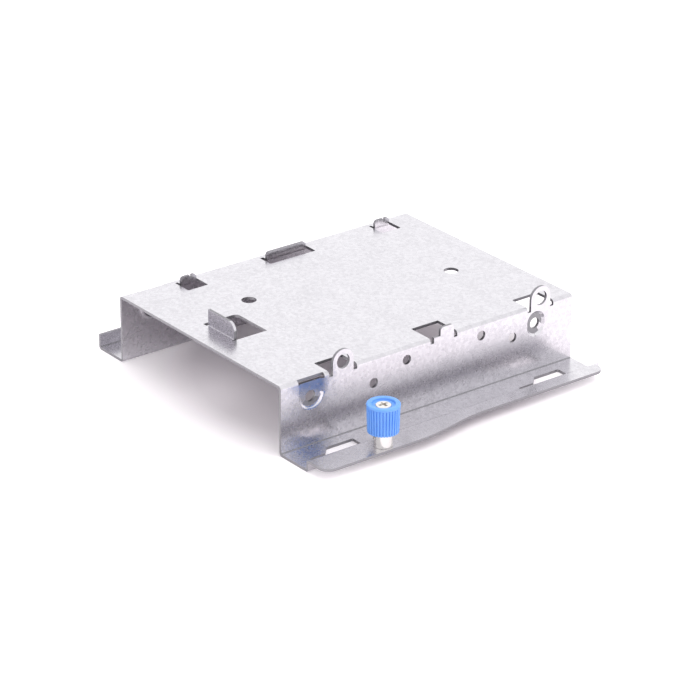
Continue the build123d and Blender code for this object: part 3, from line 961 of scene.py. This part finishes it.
# %% [markdown]
# ## Soft light
#
# One large soft box stands above the object's right side, and a white world lights it from all
# round. The camera sees the empty world as plain white.
#
# Bright metal has hardly a shade of its own and shows what stands around it. So the metal sees a
# brighter world than the one that lights the object, as it would inside a light tent, and a grey
# card at the left gives the lift tab its darker face. The lamp isn't mirrored, because its square
# would burn out the plate from some sides.

# %% Lamp, card and world
LAMP_PLACE = Vector((0.4, 0.2, 0.7))
LAMP_SIZE = 0.9
LAMP_WATTS = 3.6
CARD_PLACE = Vector((-0.29, -0.22, 0.17))
CARD_WIDTH = 0.34
CARD_HEIGHT = 0.26
WORLD_LIGHT = 1.05
WORLD_REFLECTED = 1.38


def soft_box(name, place, aim, size, watts):
    """A square area lamp that looks at a point and isn't mirrored in the metal."""
    lamp = bpy.data.lights.new(name, "AREA")
    lamp.size = size
    lamp.energy = watts
    holder = bpy.data.objects.new(name, lamp)
    bpy.context.collection.objects.link(holder)
    holder.location = place
    holder.rotation_euler = (Vector(aim) - Vector(place)).to_track_quat("-Z", "Y").to_euler()
    holder.visible_glossy = False


def grey_card(name, place, aim, width, height):
    """A grey card beside the object. The camera looks through it, the metal doesn't."""
    mesh = bpy.data.meshes.new(name)
    x, y = width / 2, height / 2
    mesh.from_pydata([(-x, -y, 0), (x, -y, 0), (x, y, 0), (-x, y, 0)], [], [(0, 1, 2, 3)])
    card = bpy.data.objects.new(name, mesh)
    bpy.context.collection.objects.link(card)
    card.location = place
    card.rotation_euler = (Vector(aim) - Vector(place)).to_track_quat("Z", "Y").to_euler()
    material, tree = start_material(name)
    finish_material(tree, add_node(tree, "ShaderNodeBsdfDiffuse", inputs={
        "Color": linear("#CCCCD0")}))
    mesh.materials.append(material)
    card.visible_camera = False
    card.visible_diffuse = False
    card.visible_shadow = False


def white_world(lit, glossy):
    """The world is white to the camera, and lights the object at its own level."""
    world = bpy.data.worlds.new("studio")
    bpy.context.scene.world = world
    world.use_nodes = True
    tree = world.node_tree
    tree.nodes.clear()
    path = add_node(tree, "ShaderNodeLightPath")
    glossy_level = add_node(tree, "ShaderNodeMix", {"data_type": "FLOAT"}, {
        0: path.outputs["Is Glossy Ray"], 2: lit, 3: glossy})
    level = add_node(tree, "ShaderNodeMix", {"data_type": "FLOAT"}, {
        0: path.outputs["Is Camera Ray"], 2: glossy_level.outputs[0], 3: 1.0})
    sky = add_node(tree, "ShaderNodeBackground", inputs={
        "Color": linear("#FFFFFF"), "Strength": level.outputs[0]})
    add_node(tree, "ShaderNodeOutputWorld", inputs={"Surface": sky.outputs[0]})


middle = (cad_low + cad_high) / 2
soft_box("soft_box_right", middle + LAMP_PLACE, middle, LAMP_SIZE, LAMP_WATTS)
grey_card("card_left", middle + CARD_PLACE, middle, CARD_WIDTH, CARD_HEIGHT)
white_world(WORLD_LIGHT, WORLD_REFLECTED)

# %% [markdown]
# ## Camera
#
# The photograph was taken with a long lens, from the front right and a little above. A camera
# was fitted to the bracket's corners, so the same place, turn and lens are used here. They are
# given from the left wall's outer face at the near end, at the height of the base.

# %% Camera at the photograph's angle
AZIMUTH = math.radians(52.266)
ELEVATION = math.radians(24.610)
ROLL = math.radians(0.2136)
LEFT_FLANGE = 11.1 * MM
SHIFT_RIGHT = 63.0778 * MM
SHIFT_UP = 3.2732 * MM
DISTANCE = 918.82 * MM
FOCAL_PIXELS = 3327.44
IMAGE_PIXELS = 700
SENSOR = 36.0
CLIP_NEAR = 0.01
CLIP_FAR = 20


def photo_camera():
    """Camera from its distance back along the line of sight, and its shifts across it."""
    back = Vector((
        math.sin(AZIMUTH) * math.cos(ELEVATION),
        -math.cos(AZIMUTH) * math.cos(ELEVATION),
        math.sin(ELEVATION),
    ))
    right = Vector((math.cos(AZIMUTH), math.sin(AZIMUTH), 0))
    up = back.cross(right)
    right_turned = right * math.cos(ROLL) + up * math.sin(ROLL)
    up_turned = up * math.cos(ROLL) - right * math.sin(ROLL)
    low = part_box("bracket")[0]
    corner = Vector((low.x + LEFT_FLANGE, low.y, 0))
    place = corner + SHIFT_RIGHT * right_turned + SHIFT_UP * up_turned + DISTANCE * back
    lens = bpy.data.cameras.new("photo_camera")
    lens.sensor_width = SENSOR
    lens.lens = FOCAL_PIXELS * SENSOR / IMAGE_PIXELS
    lens.clip_start = CLIP_NEAR
    lens.clip_end = CLIP_FAR
    camera = bpy.data.objects.new("photo_camera", lens)
    bpy.context.collection.objects.link(camera)
    turn = Matrix((right_turned, up_turned, back)).transposed().to_4x4()
    camera.matrix_world = Matrix.Translation(place) @ turn
    bpy.context.scene.camera = camera
    return camera


camera = photo_camera()
bpy.context.scene.view_settings.view_transform = "Standard"
print("Lens in mm:", round(camera.data.lens, 2))
